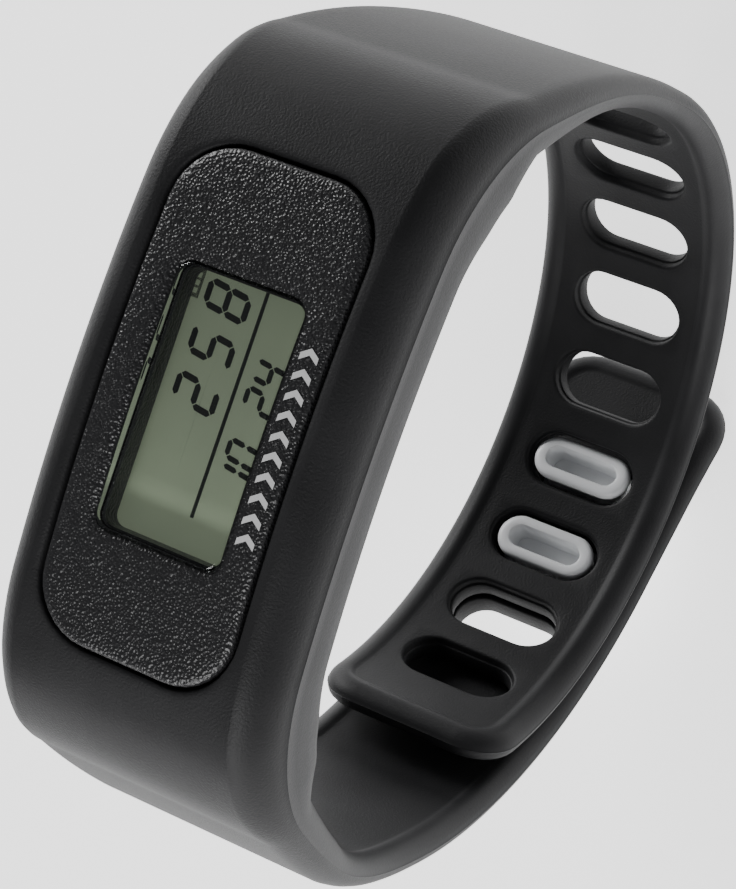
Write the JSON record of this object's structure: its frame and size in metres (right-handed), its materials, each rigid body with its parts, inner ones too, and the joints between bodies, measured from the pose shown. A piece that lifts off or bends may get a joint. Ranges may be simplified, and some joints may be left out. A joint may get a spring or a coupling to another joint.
{
  "type": "fitness tracker band",
  "caption": "Closed silicone wrist band with a pocketed step-counter module, a small LCD window, slotted strap holes and a two-peg clasp.",
  "frame": {"origin": "centre of the wrist opening, in the middle of the band's width", "axes": "+Z out of the display, +Y across the strap towards the top of the digits, +X towards the strap with the holes"},
  "size_m": [0.0659, 0.0238, 0.0815],
  "materials": {
    "silicone": "matte",
    "pad_silicone": "matte",
    "case_plastic": "textured",
    "door_plastic": "satin",
    "clasp_plastic": "satin",
    "lens": "polished",
    "white_print": "matte",
    "lcd_glass": "polished",
    "lcd_ink": "satin",
    "lcd_back": "satin",
    "frame_plastic": "satin",
    "zebra_rubber": "matte",
    "board": "satin",
    "epoxy": "gloss",
    "chip": "matte",
    "steel": "brushed",
    "ceramic": "matte",
    "brass": "polished",
    "seal_rubber": "matte"
  },
  "bodies": {
    "band": {"band_carrier": "silicone", "hole_strap": "silicone", "clasp_strap": "silicone"},
    "strap_tip": {"clasp_strap_tip": "silicone"},
    "clasp": {"clasp": "clasp_plastic"},
    "pad": {"button_pad": "pad_silicone"},
    "module": {"front_case": "case_plastic", "window_lens": "lens", "printed_mark": "white_print", "lcd_glass": "lcd_glass", "lcd_segments": "lcd_ink", "lcd_reflector": "lcd_back", "lcd_frame": "frame_plastic", "zebra_strip_near": "zebra_rubber", "zebra_strip_far": "zebra_rubber", "circuit_board": "board", "controller_blob": "epoxy", "step_sensor": "chip", "quartz_crystal": "steel", "smd_parts": "ceramic", "mode_switch": "steel", "coin_cell": "steel", "positive_contact": "brass", "negative_contact": "brass", "case_gasket": "seal_rubber", "rear_case": "case_plastic", "case_screws": "steel", "door_seal": "seal_rubber"},
    "key": {"mode_key": "door_plastic"},
    "door": {"battery_door": "door_plastic"}
  },
  "joints": [
    {"name": "strap_tip_peel", "type": "hinge", "parent": "band", "child": "strap_tip", "pos_m": [-0.01928, 0, -0.02542], "axis": [0, 1, 0], "range_deg": [0, 42], "stiffness_Nm_per_rad": 0.01},
    {"name": "clasp_pull", "type": "slide", "parent": "strap_tip", "child": "clasp", "axis": [-0.3907, 0, -0.9205], "range_m": [0, 0.007]},
    {"name": "module_lift", "type": "slide", "parent": "band", "child": "module", "axis": [0, 0, 1], "range_m": [0, 0.014]},
    {"name": "pad_press", "type": "slide", "parent": "band", "child": "pad", "axis": [0, -1, 0], "range_m": [0, 0.0005], "stiffness_N_per_m": 5000},
    {"name": "key_press", "type": "slide", "parent": "module", "child": "key", "axis": [0, -1, 0], "range_m": [0, 0.0008]},
    {"name": "door_turn", "type": "hinge", "parent": "module", "child": "door", "pos_m": [-0.0084, 0, 0.0313], "axis": [0, 0, 1], "range_deg": [-45, 0]}
  ],
  "couplings": [
    {"joint": "key_press", "follows": "pad_press", "ratio": 1}
  ]
}
